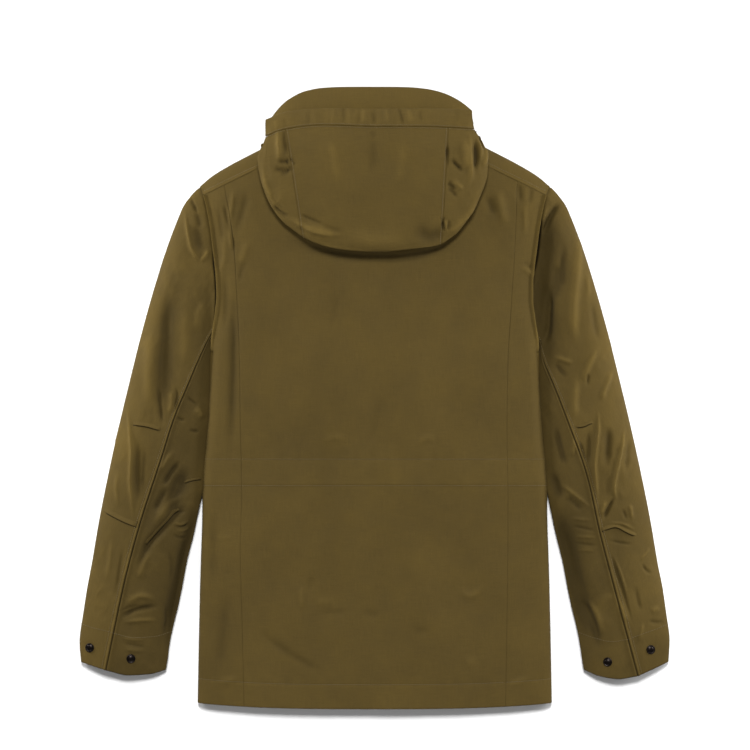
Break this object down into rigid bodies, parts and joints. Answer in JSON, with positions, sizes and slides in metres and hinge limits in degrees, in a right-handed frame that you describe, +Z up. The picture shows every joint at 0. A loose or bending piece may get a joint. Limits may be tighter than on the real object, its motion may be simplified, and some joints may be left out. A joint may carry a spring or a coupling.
{
  "type": "hooded shell jacket",
  "caption": "Unpadded hooded jacket laid flat with its back upward, hood dropped and folded on the back, drawcord waist and sleeve ends with snaps.",
  "frame": {"origin": "middle of the jacket's bounding box on the surface that it lies on", "axes": "+Z up from the surface, +Y from the hem toward the collar, +X toward the right-hand side of the picture, which is the wearer's right"},
  "size_m": [0.8024, 0.8454, 0.0555],
  "materials": {
    "back_center": "washed cotton blend, plain weave, matt, olive brown",
    "back_side_left": "washed cotton blend, plain weave, matt, olive brown",
    "back_side_right": "washed cotton blend, plain weave, matt, olive brown",
    "front_left": "washed cotton blend, plain weave, matt, olive brown",
    "front_right": "washed cotton blend, plain weave, matt, olive brown",
    "sleeve_upper_left": "washed cotton blend, plain weave, matt, olive brown",
    "sleeve_upper_right": "washed cotton blend, plain weave, matt, olive brown",
    "sleeve_under_left": "washed cotton blend, plain weave, matt, olive brown",
    "sleeve_under_right": "washed cotton blend, plain weave, matt, olive brown",
    "collar": "washed cotton blend, plain weave, matt, olive brown",
    "hood_center": "washed cotton blend, plain weave, matt, olive brown",
    "hood_side_left": "washed cotton blend, plain weave, matt, olive brown",
    "hood_side_right": "washed cotton blend, plain weave, matt, olive brown",
    "hood_casing": "washed cotton blend, plain weave, matt, olive brown",
    "hood_layers": "washed cotton blend, plain weave, matt, olive brown",
    "front_zip": "woven zip tape, brown",
    "zip_slider": "dark metal",
    "snap_left_1": "dark burnished metal, domed",
    "snap_left_2": "dark burnished metal, domed",
    "snap_right_3": "dark burnished metal, domed",
    "snap_right_4": "dark burnished metal, domed"
  },
  "bodies": {
    "root": {"back_center": "back_center", "back_side_left": "back_side_left", "back_side_right": "back_side_right", "front_left": "front_left", "front_right": "front_right", "sleeve_upper_left": "sleeve_upper_left", "sleeve_upper_right": "sleeve_upper_right", "sleeve_under_left": "sleeve_under_left", "sleeve_under_right": "sleeve_under_right", "collar": "collar", "hood_center": "hood_center", "hood_side_left": "hood_side_left", "hood_side_right": "hood_side_right", "hood_casing": "hood_casing", "hood_layers": "hood_layers", "front_zip": "front_zip", "zip_slider": "zip_slider", "snap_left_1": "snap_left_1", "snap_left_2": "snap_left_2", "snap_right_3": "snap_right_3", "snap_right_4": "snap_right_4"}
  },
  "joints": []
}
